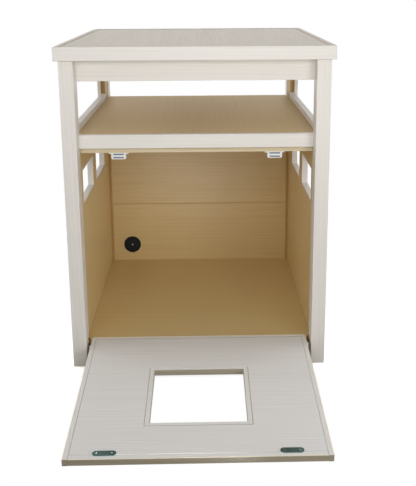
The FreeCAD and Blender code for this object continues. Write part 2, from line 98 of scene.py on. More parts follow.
# Points closer than WELD are one point, and faces that turn by less than FLAT are one face.
WELD = 0.01 * MM
FLAT = math.radians(0.5)

# An edge that turns by more than this is sharp.
SHARP = math.radians(35)

# The share of its normal that lies along a way, when a face leans that way, when it looks that
# way, and when it isn't part of an eased edge.
LEANS = 0.3
LOOKS = 0.9
SQUARE = 0.95

# Sockets of the Mix node when it mixes colours.
MIX_A = 6
MIX_B = 7
MIX_RESULT = 2

# A Wave texture of straight bands repeats once in this many units of its own space.
WAVE_PERIOD = 2 * math.pi / 10


class Grain(Enum):
    """The axis that a board's grain runs along."""

    WIDTH = 0
    DEPTH = 1
    HEIGHT = 2


def linear(code: str) -> tuple[float, float, float, float]:
    """Turn an sRGB hex colour into linear values.

    Args:
        code: The colour, such as "#E2DED6".

    Returns:
        Red, green, blue and an alpha of 1.
    """
    # The sRGB curve is a straight line near black and a power above that.
    parts = [int(code[i : i + 2], 16) / 255 for i in (1, 3, 5)]
    red, green, blue = [p / 12.92 if p <= 0.04045 else ((p + 0.055) / 1.055) ** 2.4 for p in parts]
    return red, green, blue, 1.0


def add_node(tree: bpy.types.NodeTree, kind: str, settings: dict[str, Any] | None = None,
             sockets: dict[str | int, Any] | None = None) -> bpy.types.Node:
    """Add a node with its settings, values and links.

    Args:
        tree: The node tree it goes into.
        kind: The node's type.
        settings: Properties of the node by name.
        sockets: Values, or the sockets they come from, by the input's name or number.

    Returns:
        The new node.
    """
    node = tree.nodes.new(kind)
    for name, value in (settings or {}).items():
        setattr(node, name, value)
    for name, value in (sockets or {}).items():
        if isinstance(value, bpy.types.NodeSocket):
            tree.links.new(value, node.inputs[name])
        else:
            node.inputs[name].default_value = value
    return node


def new_material(name: str) -> tuple[bpy.types.Material, bpy.types.NodeTree]:
    """Make an empty node material.

    Args:
        name: The finish, in a maker's words.

    Returns:
        The material and its node tree.
    """
    made = bpy.data.materials.new(name)
    made.use_nodes = True
    made.node_tree.nodes.clear()
    return made, made.node_tree


def close_material(tree: bpy.types.NodeTree, surface: bpy.types.NodeSocket) -> None:
    """Join a shader to the material's output.

    Args:
        tree: The material's node tree.
        surface: The shader's socket.
    """
    add_node(tree, "ShaderNodeOutputMaterial", sockets={"Surface": surface})


# ---- finishes ----
@dataclass(frozen=True)
class Laminate:
    """Melamine foil printed with wood grain and pressed with a fine texture, on composite board.

    The print gives long soft streaks and thin wavy lines, and the press gives it a satin gloss.
    Oak's own pores are under 1 mm wide, and a pixel of the picture covers about 2 mm. So streaks
    and lines are drawn about 3 to 9 mm wide, as coarse as they need to show.

    Attributes:
        ground: The colour between the streaks, as a hex code.
        streak_mm: The width of a streak.
        line_mm: The distance from line to line.
        run_mm: The length of a streak. A line is longer by as much as it is wider.
        patch_streaks: The width of the patches that the lines fade in, in streaks.
        streak_range: The values of the noise where a streak begins and is full.
        line_range: The values of the wave where a line begins and is full.
        streak_depth: How much of its colour a full streak has.
        line_depth: How much of its colour a full line has.
        roughness: The surface's roughness. Satin is about 0.4.
        roughness_swing: What the streaks take from it and add to it.
        level: The strength of its gloss.
        press_mm: The depth of the pressed texture, at its real size.
    """

    name: str
    ground: str
    streak: str
    line: str
    streak_mm: float = 5.0
    line_mm: float = 9.0
    run_mm: float = 260.0
    patch_streaks: float = 14.0
    streak_range: tuple[float, float] = (0.42, 0.66)
    line_range: tuple[float, float] = (0.62, 0.98)
    streak_depth: float = 0.5
    line_depth: float = 0.35
    roughness: float = 0.46
    roughness_swing: tuple[float, float] = (0.06, 0.08)
    level: float = 0.35
    press_mm: float = 0.05

    def material(self, grain: Grain) -> bpy.types.Material:
        """Make the finish for boards with one direction of grain.

        Args:
            grain: The axis the grain runs along.

        Returns:
            The material.
        """
        made, tree = new_material(f"{self.name}, grain along the {grain.name.lower()}")
        place = add_node(tree, "ShaderNodeTexCoord").outputs["Object"]
        fine = self._stretched(tree, place, grain, self.streak_mm)
        streaks = add_node(tree, "ShaderNodeTexNoise", sockets={
            "Vector": fine, "Scale": 1.0, "Detail": 4.0, "Roughness": 0.62, "Distortion": 0.3,
        })
        streaky = add_node(tree, "ShaderNodeMapRange", sockets={
            "Value": streaks.outputs["Fac"], "From Min": self.streak_range[0],
            "From Max": self.streak_range[1], "To Max": self.streak_depth,
        })
        lined = add_node(tree, "ShaderNodeTexWave", {"bands_direction": "DIAGONAL"}, {
            "Vector": self._stretched(tree, place, grain, self.line_mm / WAVE_PERIOD),
            "Scale": 1.0, "Distortion": 6.0, "Detail": 2.0, "Detail Scale": 0.35,
            "Detail Roughness": 0.6,
        })
        thin = add_node(tree, "ShaderNodeMapRange", sockets={
            "Value": lined.outputs["Fac"], "From Min": self.line_range[0],
            "From Max": self.line_range[1], "To Max": self.line_depth,
        })
        broad = add_node(tree, "ShaderNodeTexNoise", sockets={
            "Vector": self._stretched(tree, place, grain, self.streak_mm * self.patch_streaks),
            "Scale": 1.0, "Detail": 2.0, "Roughness": 0.5,
        })
        patchy = add_node(tree, "ShaderNodeMath", {"operation": "MULTIPLY"}, {
            0: thin.outputs["Result"], 1: broad.outputs["Fac"],
        })
        toned = add_node(tree, "ShaderNodeMix", {"data_type": "RGBA"}, {
            0: streaky.outputs["Result"], MIX_A: linear(self.ground), MIX_B: linear(self.streak),
        })
        colour = add_node(tree, "ShaderNodeMix", {"data_type": "RGBA"}, {
            0: patchy.outputs["Value"], MIX_A: toned.outputs[MIX_RESULT], MIX_B: linear(self.line),
        })
        height = add_node(tree, "ShaderNodeMath", {"operation": "ADD"}, {
            0: streaky.outputs["Result"], 1: thin.outputs["Result"],
        })
        bump = add_node(tree, "ShaderNodeBump", {"invert": True}, {
            "Strength": 0.5, "Distance": self.press_mm * MM, "Height": height.outputs["Value"],
        })
        satin = add_node(tree, "ShaderNodeMapRange", sockets={
            "Value": streaks.outputs["Fac"], "To Min": self.roughness - self.roughness_swing[0],
            "To Max": self.roughness + self.roughness_swing[1],
        })
        shader = add_node(tree, "ShaderNodeBsdfPrincipled", sockets={
            "Base Color": colour.outputs[MIX_RESULT], "Roughness": satin.outputs["Result"],
            "Specular IOR Level": self.level, "IOR": 1.5, "Normal": bump.outputs["Normal"],
        })
        close_material(tree, shader.outputs["BSDF"])
        return made

    def _stretched(self, tree: bpy.types.NodeTree, place: bpy.types.NodeSocket, grain: Grain,
                   across_mm: float) -> bpy.types.NodeSocket:
        """Scale a place so that one unit is a width across the grain and a long run along it.

        Args:
            tree: The material's node tree.
            place: The place in metres.
            grain: The axis the grain runs along.
            across_mm: The width of one unit across the grain.

        Returns:
            The socket of the scaled place.
        """
        scale = [1 / (across_mm * MM)] * 3
        scale[grain.value] *= self.streak_mm / self.run_mm
        return add_node(tree, "ShaderNodeMapping", sockets={
            "Vector": place, "Scale": scale,
        }).outputs["Vector"]


@dataclass(frozen=True)
class Moulded:
    """Injection-moulded plastic with the faint grain of its tool.

    The real grain is 0.1 to 0.2 mm wide, too fine to show, and is drawn at 0.8 mm.

    Attributes:
        roughness_swing: What the grain takes from the roughness and adds to it.
        grain_mm: The width of the grain.
        grain_depth_mm: Its depth.
        level: The strength of its gloss.
    """

    name: str
    colour: str
    roughness: float
    roughness_swing: float = 0.05
    grain_mm: float = 0.8
    grain_depth_mm: float = 0.03
    ior: float = 1.46
    level: float = 0.5

    def material(self) -> bpy.types.Material:
        """Make the finish.

        Returns:
            The material.
        """
        made, tree = new_material(self.name)
        place = add_node(tree, "ShaderNodeTexCoord").outputs["Object"]
        speckle = add_node(tree, "ShaderNodeTexNoise", sockets={
            "Vector": place, "Scale": 1 / (self.grain_mm * MM), "Detail": 2.0,
        })
        bump = add_node(tree, "ShaderNodeBump", sockets={
            "Strength": 0.4, "Distance": self.grain_depth_mm * MM,
            "Height": speckle.outputs["Fac"],
        })
        gloss = add_node(tree, "ShaderNodeMapRange", sockets={
            "Value": speckle.outputs["Fac"], "To Min": self.roughness - self.roughness_swing,
            "To Max": self.roughness + self.roughness_swing,
        })
        shader = add_node(tree, "ShaderNodeBsdfPrincipled", sockets={
            "Base Color": linear(self.colour), "Roughness": gloss.outputs["Result"],
            "IOR": self.ior, "Specular IOR Level": self.level, "Normal": bump.outputs["Normal"],
        })
        close_material(tree, shader.outputs["BSDF"])
        return made


@dataclass(frozen=True)
class WorkedMetal:
    """Rolled or turned metal with fine tool lines, which break up its shine.

    The real lines are about 0.1 mm apart, too fine to show, and are drawn at 0.6 mm.

    Attributes:
        roughness_swing: What the lines take from the roughness and add to it.
        line_mm: The distance from line to line.
        run_mm: The length of a line.
    """

    name: str
    colour: str
    roughness: float
    roughness_swing: tuple[float, float] = (0.1, 0.12)
    line_mm: float = 0.6
    run_mm: float = 12.0

    def material(self) -> bpy.types.Material:
        """Make the finish.

        Returns:
            The material.
        """
        made, tree = new_material(self.name)
        place = add_node(tree, "ShaderNodeTexCoord").outputs["Object"]
        across = 1 / (self.line_mm * MM)
        lines = add_node(tree, "ShaderNodeTexNoise", sockets={
            "Vector": add_node(tree, "ShaderNodeMapping", sockets={
                "Vector": place, "Scale": (1 / (self.run_mm * MM), across, across),
            }).outputs["Vector"],
            "Scale": 1.0, "Detail": 3.0,
        })
        gloss = add_node(tree, "ShaderNodeMapRange", sockets={
            "Value": lines.outputs["Fac"], "To Min": self.roughness - self.roughness_swing[0],
            "To Max": self.roughness + self.roughness_swing[1],
        })
        shader = add_node(tree, "ShaderNodeBsdfPrincipled", sockets={
            "Base Color": linear(self.colour), "Metallic": 1.0,
            "Roughness": gloss.outputs["Result"],
        })
        close_material(tree, shader.outputs["BSDF"])
        return made


# Limed oak foil: a warm off-white with faint grey streaks and a soft sheen.
WHITEWASH = Laminate("Whitewashed oak laminate, satin", "#E8E4DF", "#DDD8D1", "#C9C2B8",
                     streak_depth=0.35, line_depth=0.2, level=0.25)
# The same foil in a cooler print: the door's inner face looks greyer, its lines finer and clearer.
COOL_WHITEWASH = Laminate("Whitewashed oak laminate, cool, satin", "#E5E3E0", "#D9D7D4", "#BAB6B0",
                          streak_mm=3.2, line_mm=6.0, streak_depth=0.5, line_depth=0.45,
                          level=0.25)
# Painted shade on the faces that look up: the white foil made darker and browner, nearly matt, with
# fine brown streaks.
SHADED_TOP = Laminate("Whitewashed oak laminate, brushed thin", "#DAD1C5", "#C9BEAF", "#AB9C88",
                    streak_mm=2.6, line_mm=5.0, streak_depth=0.6, line_depth=0.25, roughness=0.5,
                    level=0.1)
# Natural oak foil: honey tan with a quiet grain, and a fuller sheen that picks up the lamps.
TAN = Laminate("Natural oak laminate, satin", "#E0C893", "#D5BA80", "#BC9A60", streak_depth=0.4,
               line_depth=0.2, roughness=0.34, level=0.35)
# A darker copy of the natural foil: painted shade that makes the back wall a little browner than
# the floor.
SHADED_BACK_TAN = Laminate("Natural oak laminate, deep, satin", "#D8BE87", "#CCB075", "#B39056",
                    streak_depth=0.4, line_depth=0.2, roughness=0.34, level=0.35)
# A lighter copy of the natural foil: painted light that keeps the side walls honey-coloured in
# their shade.
LIGHTENED_SIDE_TAN = Laminate("Natural oak laminate, light, satin", "#EAD4A2", "#E0C68F", "#C7A66D",
                    streak_depth=0.4, line_depth=0.2, roughness=0.34, level=0.35)
# Matt oak foil: finely grained, and without glare where the eye skims along the shelf.
SHELF_TAN = Laminate("Natural oak laminate, matt", "#E1C89B", "#D5BA89", "#B99868", streak_mm=2.6,
                     line_mm=5.0, streak_depth=0.5, line_depth=0.2, roughness=0.55, level=0.06)
# A painted highlight: a warm pale line along the rim of the door's inner face, standing for the
# light that its eased edge catches.
EDGE_HIGHLIGHT = Laminate("Cream edge band, satin", "#EFE5D0", "#E6DAC2", "#D2C4A8", level=0.25)
# A tone between white and tan: the stop strip's own colour behind the door, and painted shade on
# the rear posts' white fronts where the inside begins.
PALE_TAN_AND_SHADE = Laminate("Pale oak edge band, satin", "#DDCFB0", "#CFBF9D", "#B5A17C", level=0.2)
# A dull grey-brown that draws the door's thickness and the joint lines in its face.
RAW_EDGE = Laminate("Grey oak edge band, satin", "#ADA48F", "#9F9580", "#857B66")
# Painted shade in the rear posts' groove: a dry brown with no sheen.
GROOVE_SHADE = Laminate("Sawn composite board, bare", "#CBA46B", "#BC945A", "#A07A47", level=0.1,
                       roughness=0.7)
# Painted shade: a thin brown line in the rear corners of the chamber.
CORNER_SHADE = Laminate("Brown edge band, matt", "#C29C63", "#B58F5A", "#9A7747", level=0.1,
                      roughness=0.6)
# A dark hairline where two boards meet.
JOINT = Laminate("Sawn composite board, deep in a joint", "#5C472C", "#4F3C24", "#43321E",
                 level=0.05, roughness=0.8)
# A clean, neutral white with soft highlights.
WHITE_PLASTIC = Moulded("Moulded polypropylene, white", "#EDECE8", 0.38)
# Close to black, with little gloss on its edge.
BLACK_PLASTIC = Moulded("Moulded polypropylene, black", "#0C0D10", 0.42, level=0.15)
# A shade bluer and lighter than the black round it.
SLATE_PLASTIC = Moulded("Moulded polypropylene, slate black", "#14171C", 0.36, level=0.15)
# Pale grey: a painted highlight on the plug cap's raised front face.
HIGHLIGHT_GREY_PLASTIC = Moulded("Moulded polypropylene, rubbed grey", "#9AA3AD", 0.4)
# Plain grey metal with a broken shine.
ZINC_STEEL = WorkedMetal("Zinc-plated steel, rolled", "#8E989C", 0.38)
# Grey metal with a blue-green cast, which sets the strike plates off from the white door.
BLUED_STEEL = WorkedMetal("Zinc-plated steel, blue passivated", "#647F80", 0.3)
# Lighter and shinier than the plates, so that the screws stand out in them.
BRIGHT_STEEL = WorkedMetal("Zinc-plated steel, bright", "#A6BBB8", 0.22)
# Dark blue-grey lines in the white housings.
DARK_STEEL = WorkedMetal("Mild steel pole plate, rolled", "#565F70", 0.42)
# Dull brown yellow: brass darkened with painted shade, a dark fleck in the gap beside the door.
SHADED_BRASS = WorkedMetal("Turned brass, aged", "#7A6238", 0.5)
# Dull charcoal, like unglazed stoneware.
FERRITE = Moulded("Sintered ferrite magnet", "#2A2A2C", 0.6)


class Paints:
    """The materials in use, each made once."""

    def __init__(self) -> None:
        """Start with no materials."""
        self._boards: dict[tuple[Laminate, Grain], bpy.types.Material] = {}
        self._plain: dict[Moulded | WorkedMetal, bpy.types.Material] = {}

    def board(self, finish: Laminate, grain: Grain) -> bpy.types.Material:
        """Give a laminate with its grain along an axis.

        Args:
            finish: The laminate.
            grain: The axis the grain runs along.

        Returns:
            The material.
        """
        if (finish, grain) not in self._boards:
            self._boards[finish, grain] = finish.material(grain)
        return self._boards[finish, grain]

    def plain(self, finish: Moulded | WorkedMetal) -> bpy.types.Material:
        """Give a plastic or a metal.

        Args:
            finish: The plastic or metal.

        Returns:
            The material.
        """
        if finish not in self._plain:
            self._plain[finish] = finish.material()
        return self._plain[finish]


# ---- making pieces ----
def new_piece(name: str, mesh: bpy.types.Mesh) -> bpy.types.Object:
    """Put a mesh into the scene as a piece.

    Args:
        name: The piece's name.
        mesh: Its mesh, with its place in it.

    Returns:
        The piece's object, at the origin.
    """
    piece = bpy.data.objects.new(name, mesh)
    bpy.context.scene.collection.objects.link(piece)
    return piece


def settled(piece: bpy.types.Object) -> bpy.types.Object:
    """Turn a piece's modifiers into a plain mesh.

    Args:
        piece: The piece, with its modifiers.

    Returns:
        The same piece, with no modifiers.
    """
    graph = bpy.context.evaluated_depsgraph_get()
    mesh = bpy.data.meshes.new_from_object(piece.evaluated_get(graph))
    piece.modifiers.clear()
    piece.data = mesh
    return piece


def dress(piece: bpy.types.Object, *materials: bpy.types.Material) -> None:
    """Give a piece its materials, in place of any it has.

    Args:
        piece: The piece.
        materials: The materials, the main one first.
    """
    piece.data.materials.clear()
    for material in materials:
        piece.data.materials.append(material)


def copied(node: str, ending: str) -> bpy.types.Object:
    """Copy a CAD node as a welded mesh that stands for it.

    Args:
        node: The node's name.
        ending: What is added to it for the piece's name.

    Returns:
        The piece, which rides on the node's body.
    """
    source = frame["nodes"][node]
    shape = bmesh.new()
    shape.from_mesh(source.data)
    bmesh.ops.remove_doubles(shape, verts=shape.verts, dist=WELD)
    bmesh.ops.dissolve_limit(shape, angle_limit=FLAT, verts=shape.verts, edges=shape.edges)
    mesh = bpy.data.meshes.new(node + ending)
    shape.to_mesh(mesh)
    shape.free()
    normals = mesh.attributes.get("custom_normal")
    if normals is not None:
        mesh.attributes.remove(normals)
    mesh.shade_smooth()
    mesh.set_sharp_from_angle(angle=SHARP)
    piece = new_piece(node + ending, mesh)
    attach(piece, source["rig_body"])
    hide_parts(node)
    return piece


def eased(node: str, width: float, segments: int = 2) -> bpy.types.Object:
    """Copy a CAD node with its sharp edges eased.

    Args:
        node: The node's name.
        width: The width of the eased edge.
        segments: The steps round it.

    Returns:
        The piece, which stands for the node.
    """
    piece = copied(node, "_eased")
    # The eased edges bring their own normals, so no edge is marked sharp.
    piece.data.shade_smooth()
    ease = piece.modifiers.new("ease", "BEVEL")
    ease.width = width
    ease.segments = segments
    ease.limit_method = "ANGLE"
    ease.angle_limit = SHARP
    ease.harden_normals = True
    return settled(piece)


def parted(piece: bpy.types.Object, level: float, way: Vector = UP) -> None:
    """Cut a piece's faces across, so that its finish can change there.

    Args:
        piece: The piece.
        level: How far along the way the cut lies.
        way: The way that the cut stands across.
    """
    shape = bmesh.new()
    shape.from_mesh(piece.data)
    whole = [*shape.verts, *shape.edges, *shape.faces]
    bmesh.ops.bisect_plane(shape, geom=whole, plane_co=way * level, plane_no=way)
    shape.to_mesh(piece.data)
    shape.free()


def paint_faces(piece: bpy.types.Object, material: bpy.types.Material,
                chosen: Callable[[Vector, Vector], bool]) -> None:
    """Give some faces of a piece another of its materials.

    Args:
        piece: The piece, which is dressed in the material already.
        material: The material.
        chosen: Says of a face's middle and normal whether it is one of them.
    """
    index = piece.data.materials.find(material.name)
    for face in piece.data.polygons:
        if chosen(face.center, face.normal):
            face.material_index = index


# ---- screws ----
# The number of flats that stand for a head's round edge.
HEAD_FLATS = 32


@dataclass(frozen=True)
class ScrewHead:
    """The head of a cross-recessed wood screw.

    Attributes:
        radius: The radius of its seat.
        height: From its seat to its top.
        top_radius: The radius of its top.
        recess_length: From end to end of a slot of its cross.
    """

    radius: float
    height: float
    top_radius: float
    recess_length: float
    recess_width: float
    recess_depth: float


def screw_tree(material: bpy.types.Material) -> bpy.types.NodeTree:
    """Build the node tree that puts a screw head at each point of a mesh.

    Args:
        material: The screws' material.

    Returns:
        The tree, with the head's sizes and its turn as named inputs.
    """
    tree = bpy.data.node_groups.new("Cross-recessed screw heads", "GeometryNodeTree")
    face = tree.interface
    face.new_socket("Geometry", in_out="INPUT", socket_type="NodeSocketGeometry")
    for name in ("Radius", "Top Radius", "Height", "Recess Length", "Recess Width", "Recess Depth"):
        face.new_socket(name, in_out="INPUT", socket_type="NodeSocketFloat")
    face.new_socket("Turn", in_out="INPUT", socket_type="NodeSocketVector")
    face.new_socket("Geometry", in_out="OUTPUT", socket_type="NodeSocketGeometry")
    given = add_node(tree, "NodeGroupInput").outputs
    head = add_node(tree, "GeometryNodeMeshCone", sockets={
        "Vertices": HEAD_FLATS, "Radius Bottom": given["Radius"],
        "Radius Top": given["Top Radius"], "Depth": given["Height"],
    })
    # The middle of a slot's block lies on the head's top, so half of the block cuts.
    deep = add_node(tree, "ShaderNodeMath", {"operation": "MULTIPLY"}, {
        0: given["Recess Depth"], 1: 2.0,
    })
    lift = add_node(tree, "ShaderNodeCombineXYZ", sockets={"Z": given["Height"]})
    length, width = given["Recess Length"], given["Recess Width"]
    cutters = []
    for along, across in ((length, width), (width, length)):
        size = add_node(tree, "ShaderNodeCombineXYZ", sockets={
            "X": along, "Y": across, "Z": deep.outputs["Value"],
        })
        slot = add_node(tree, "GeometryNodeMeshCube", sockets={"Size": size.outputs["Vector"]})
        cutters.append(add_node(tree, "GeometryNodeTransform", sockets={
            "Geometry": slot.outputs["Mesh"], "Translation": lift.outputs["Vector"],
        }).outputs["Geometry"])
    once = add_node(tree, "GeometryNodeMeshBoolean", {"operation": "DIFFERENCE"}, {
        "Mesh 1": head.outputs["Mesh"], "Mesh 2": cutters[0],
    })
    twice = add_node(tree, "GeometryNodeMeshBoolean", {"operation": "DIFFERENCE"}, {
        "Mesh 1": once.outputs["Mesh"], "Mesh 2": cutters[1],
    })
    turn = add_node(tree, "FunctionNodeEulerToRotation", sockets={"Euler": given["Turn"]})
    placed = add_node(tree, "GeometryNodeInstanceOnPoints", sockets={
        "Points": given["Geometry"], "Instance": twice.outputs["Mesh"],
        "Rotation": turn.outputs["Rotation"],
    })
    real = add_node(tree, "GeometryNodeRealizeInstances", sockets={
        "Geometry": placed.outputs["Instances"],
    })
    dressed = add_node(tree, "GeometryNodeSetMaterial", sockets={
        "Geometry": real.outputs["Geometry"], "Material": material,
    })
    add_node(tree, "NodeGroupOutput", sockets={"Geometry": dressed.outputs["Geometry"]})
    return tree


def screws(name: str, head: ScrewHead, points: list[Vector], turn: Euler,
           tree: bpy.types.NodeTree) -> bpy.types.Object:
    """Make a set of screw heads.

    Args:
        name: The piece's name.
        head: The head's sizes.
        points: The middle of each head's seat.
        turn: The turn from +Z to the way the heads face.
        tree: The node tree of the heads.

    Returns:
        The piece, as a plain mesh.
    """
    mesh = bpy.data.meshes.new(name)
    mesh.from_pydata([tuple(p) for p in points], [], [])
    piece = new_piece(name, mesh)
    maker = piece.modifiers.new("heads", "NODES")
    maker.node_group = tree
    given = {
        "Radius": head.radius, "Top Radius": head.top_radius, "Height": head.height,
        "Recess Length": head.recess_length, "Recess Width": head.recess_width,
        "Recess Depth": head.recess_depth, "Turn": tuple(turn),
    }
    for socket in tree.interface.items_tree:
        if socket.in_out == "INPUT" and socket.name in given:
            maker[socket.identifier] = given[socket.name]
    return settled(piece)


# ---- the still cabinet ----
@dataclass
class Carcass:
    """Posts, top, rails, shelf and chamber.

    Attributes:
        ease: The width of a board's eased edges.
        fine_ease: The width of a thin board's eased edges.
        joint_ease: The width of the bevel on the side boards, dark where they meet the posts.
        groove_in: Where the side boards' groove in a post begins, from the cabinet's middle.
        groove_out: Where it ends.
        groove_deep: Its depth.
        groove_slack: How far past its place a face still counts as the groove's.
        front_skin: The depth behind a rear post's front that still counts as its front.
        end_tilt: The share of Z in a normal above which a post's face is one of its ends.
        shelf_level: A level just under the shelf, below which the rear posts take the painted
            corner shade.
        bevel_tilt: The share of Z in a normal above which a rim's eased edge looks up.
    """

    paints: Paints
    ease: float = 0.7 * MM
    fine_ease: float = 0.4 * MM
    joint_ease: float = 1.4 * MM
    groove_in: float = 274.0 * MM
    groove_out: float = 286.0 * MM
    groove_deep: float = 8.0 * MM
    groove_slack: float = 1.0 * MM
    front_skin: float = 0.5 * MM
    end_tilt: float = 0.5
    shelf_level: float = 530.0 * MM
    bevel_tilt: float = 0.2

    def board(self, node: str, grain: Grain, finish: Laminate = WHITEWASH) -> bpy.types.Object:
        """Ease a board and dress it in one laminate.

        Args:
            node: The board's node.
            grain: The axis its grain runs along.
            finish: Its laminate.

        Returns:
            The board.
        """
        piece = eased(node, self.ease)
        dress(piece, self.paints.board(finish, grain))
        return piece

    def posts(self) -> None:
        """Dress the four posts, whose long edges the CAD has already rounded."""
        for side, out in SIDES.items():
            dress(frame["nodes"][f"post_front_{side}"], self.paints.board(WHITEWASH, Grain.HEIGHT))
            self.rear_post(side, out)

    def rear_post(self, side: str, out: int) -> None:
        """Dress a rear post, with painted shade: pale tan where it faces the inside, brown there
        below the shelf, and dry brown in its groove.

        Args:
            side: The side it stands on.
            out: The sign of X there.
        """
        white, pale, bare, brown = (self.paints.board(finish, Grain.HEIGHT) for finish in (
            WHITEWASH, PALE_TAN_AND_SHADE, GROOVE_SHADE, CORNER_SHADE))
        rear = copied(f"post_rear_{side}", "_shaded")
        parted(rear, self.shelf_level)
        dress(rear, white, pale, bare, brown)
        front = min(v.co.y for v in rear.data.vertices)
        slack = self.groove_slack
        # Painted shade: the white front that faces the inside is pale tan, as the tan boards'
        # bounce and the top's shade fall on it.
        paint_faces(rear, pale, lambda middle, normal: (
            middle.x * out < self.groove_in and normal.y < -LEANS))
        # Painted shade in the chamber's rear corners: the front below the shelf is brown.
        paint_faces(rear, brown, lambda middle, normal: (
            middle.x * out < self.groove_in and middle.z < self.shelf_level
            and normal.y < -LEANS))
        # Painted shade: the groove's recess is dry brown.
        paint_faces(rear, bare, lambda middle, normal: (
            self.groove_in - slack < middle.x * out < self.groove_out + slack
            and front + self.front_skin < middle.y < front + self.groove_deep + slack
            and abs(normal.z) < self.end_tilt))

    def top(self) -> None:
        """Ease and dress the rim boards and the inset panel, with painted shade on the faces that
        look up.
        """
        centre = sum(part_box("top_panel"), Vector()) / 2
        for node, grain in (("rim_front", Grain.WIDTH), ("rim_rear", Grain.WIDTH),
                            ("rim_right", Grain.DEPTH), ("rim_left", Grain.DEPTH)):
            piece = self.board(node, grain)
            top_shade, joint = self.paints.board(SHADED_TOP, grain), self.paints.board(JOINT, grain)
            piece.data.materials.append(top_shade)
            piece.data.materials.append(joint)
            # Painted shade: the rims' upper faces are darker and browner than their fronts.
            paint_faces(piece, top_shade, lambda middle, normal: normal.z > LOOKS)
            paint_faces(piece, joint, lambda middle, normal: (
                self.bevel_tilt < normal.z < LOOKS
                and normal.xy.dot((centre - middle).xy.normalized()) > LEANS))
        # The inset panel is all in the painted top shade.
        self.board("top_panel", Grain.DEPTH, SHADED_TOP)

    def rails(self) -> None:
        """Ease and dress the aprons, the shelf's rails and the stop strip."""
        for node in ("apron_front", "apron_rear", "shelf_rail_front"):
            self.board(node, Grain.WIDTH)
        for side in SIDES:
            self.board(f"apron_side_{side}", Grain.DEPTH)
            self.board(f"shelf_rail_side_{side}", Grain.DEPTH)
        self.board("stop_strip", Grain.WIDTH, PALE_TAN_AND_SHADE)

    def shelf_and_floor(self) -> None:
        """Ease and dress the shelf and the floor."""
        self.board("shelf_panel", Grain.DEPTH, SHELF_TAN)
        self.board("floor_panel", Grain.WIDTH, TAN)

    def walls(self) -> None:
        """Dress the chamber's boards: natural inside, white outside."""
        for side, out in SIDES.items():
            self.side_wall(side, out)
        for node in ("back_board_lower", "back_board_upper"):
            white = self.paints.board(WHITEWASH, Grain.WIDTH)
            # Painted shade: the back wall's inside face takes the darker copy of the natural foil.
            tan = self.paints.board(SHADED_BACK_TAN, Grain.WIDTH)
            piece = eased(node, self.fine_ease)
            dress(piece, white, tan)
            paint_faces(piece, tan, lambda middle, normal: normal.y < -LEANS)

    def side_wall(self, side: str, out: int) -> None:
        """Dress a side board, with a dark bevel at the posts on its inside.

        Args:
            side: The side it stands on.
            out: The sign of X there.
        """
        white, tan, joint = (self.paints.board(finish, Grain.HEIGHT) for finish in (
            WHITEWASH, LIGHTENED_SIDE_TAN, JOINT))
        piece = eased(f"side_panel_{side}", self.joint_ease, 1)
        dress(piece, white, tan, joint)
        # Painted light: the side wall's inside face takes the lighter copy of the natural foil.
        paint_faces(piece, tan, lambda middle, normal: normal.x * out < -LOOKS)
        paint_faces(piece, joint, lambda middle, normal: (
            -LOOKS < normal.x * out < -LEANS and abs(normal.y) > LEANS))

    def windows(self) -> None:
        """Ease and dress the frames that line the side windows."""
        for side in SIDES:
            for place in ("front", "rear"):
                piece = eased(f"window_liner_{place}_{side}", self.fine_ease)
                dress(piece, self.paints.board(WHITEWASH, Grain.DEPTH))

    def build(self) -> None:
        """Dress the whole carcass."""
        for step in (self.posts, self.top, self.rails, self.shelf_and_floor, self.walls,
                     self.windows):
            step()
            LOG.info("carcass: %s", step.__name__)


@dataclass
class Fittings:
    """The still cabinet's cord plug, catches and bushes.

    Attributes:
        highlight_depth: How deep into the plug's raised face the painted highlight goes.
        ear_screw: The head of a screw in a catch's ear.
        ear_thickness: The thickness of an ear.
        ear_reach: From a catch's middle to the middle of an ear's screw.
        ear_depth: From the front of a catch to the middle of an ear's screw.
    """

    paints: Paints
    highlight_depth: float = 0.1 * MM
    ear_screw: ScrewHead = ScrewHead(2.8 * MM, 1.3 * MM, 2.0 * MM, 2.6 * MM, 0.7 * MM, 0.8 * MM)
    ear_thickness: float = 2.5 * MM
    ear_reach: float = 19.875 * MM
    ear_depth: float = 5.5 * MM

    def plug(self) -> None:
        """Dress the cord plug."""
        dress(frame["nodes"]["plug_ring"], self.paints.plain(BLACK_PLASTIC))
        slate, grey = self.paints.plain(SLATE_PLASTIC), self.paints.plain(HIGHLIGHT_GREY_PLASTIC)
        cap = copied("plug_cap", "_highlighted")
        dress(cap, slate, grey)
        front = min(v.co.y for v in cap.data.vertices)
        # Painted highlight: the cap's frontmost face is pale grey.
        paint_faces(cap, grey, lambda middle, normal: middle.y < front + self.highlight_depth)

    def catches(self) -> None:
        """Dress the catches' housings, pole plates and magnets."""
        for side in SIDES:
            dress(frame["nodes"][f"catch_housing_{side}"], self.paints.plain(WHITE_PLASTIC))
            dress(frame["nodes"][f"catch_poles_{side}"], self.paints.plain(DARK_STEEL))
            dress(frame["nodes"][f"catch_magnet_{side}"], self.paints.plain(FERRITE))

    def ear_screws(self) -> None:
        """Make the heads of the screws under the catches' ears."""
        points = []
        for side in SIDES:
            low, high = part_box(f"catch_housing_{side}")
            middle = (low.x + high.x) / 2
            for way in (-1, 1):
                points.append(Vector((
                    middle + way * self.ear_reach, low.y + self.ear_depth,
                    high.z - self.ear_thickness,
                )))
        tree = screw_tree(self.paints.plain(ZINC_STEEL))
        piece = screws("catch_screws", self.ear_screw, points, Euler((math.pi, 0, 0)), tree)
        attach(piece, "cabinet")

    def bushes(self) -> None:
        """Dress the brass bushes, darkened with painted shade."""
        for side in SIDES:
            dress(frame["nodes"][f"pivot_bush_{side}"], self.paints.plain(SHADED_BRASS))

    def build(self) -> None:
        """Dress and make every fitting."""
        for step in (self.plug, self.catches, self.ear_screws, self.bushes):
            step()
            LOG.info("fittings: %s", step.__name__)


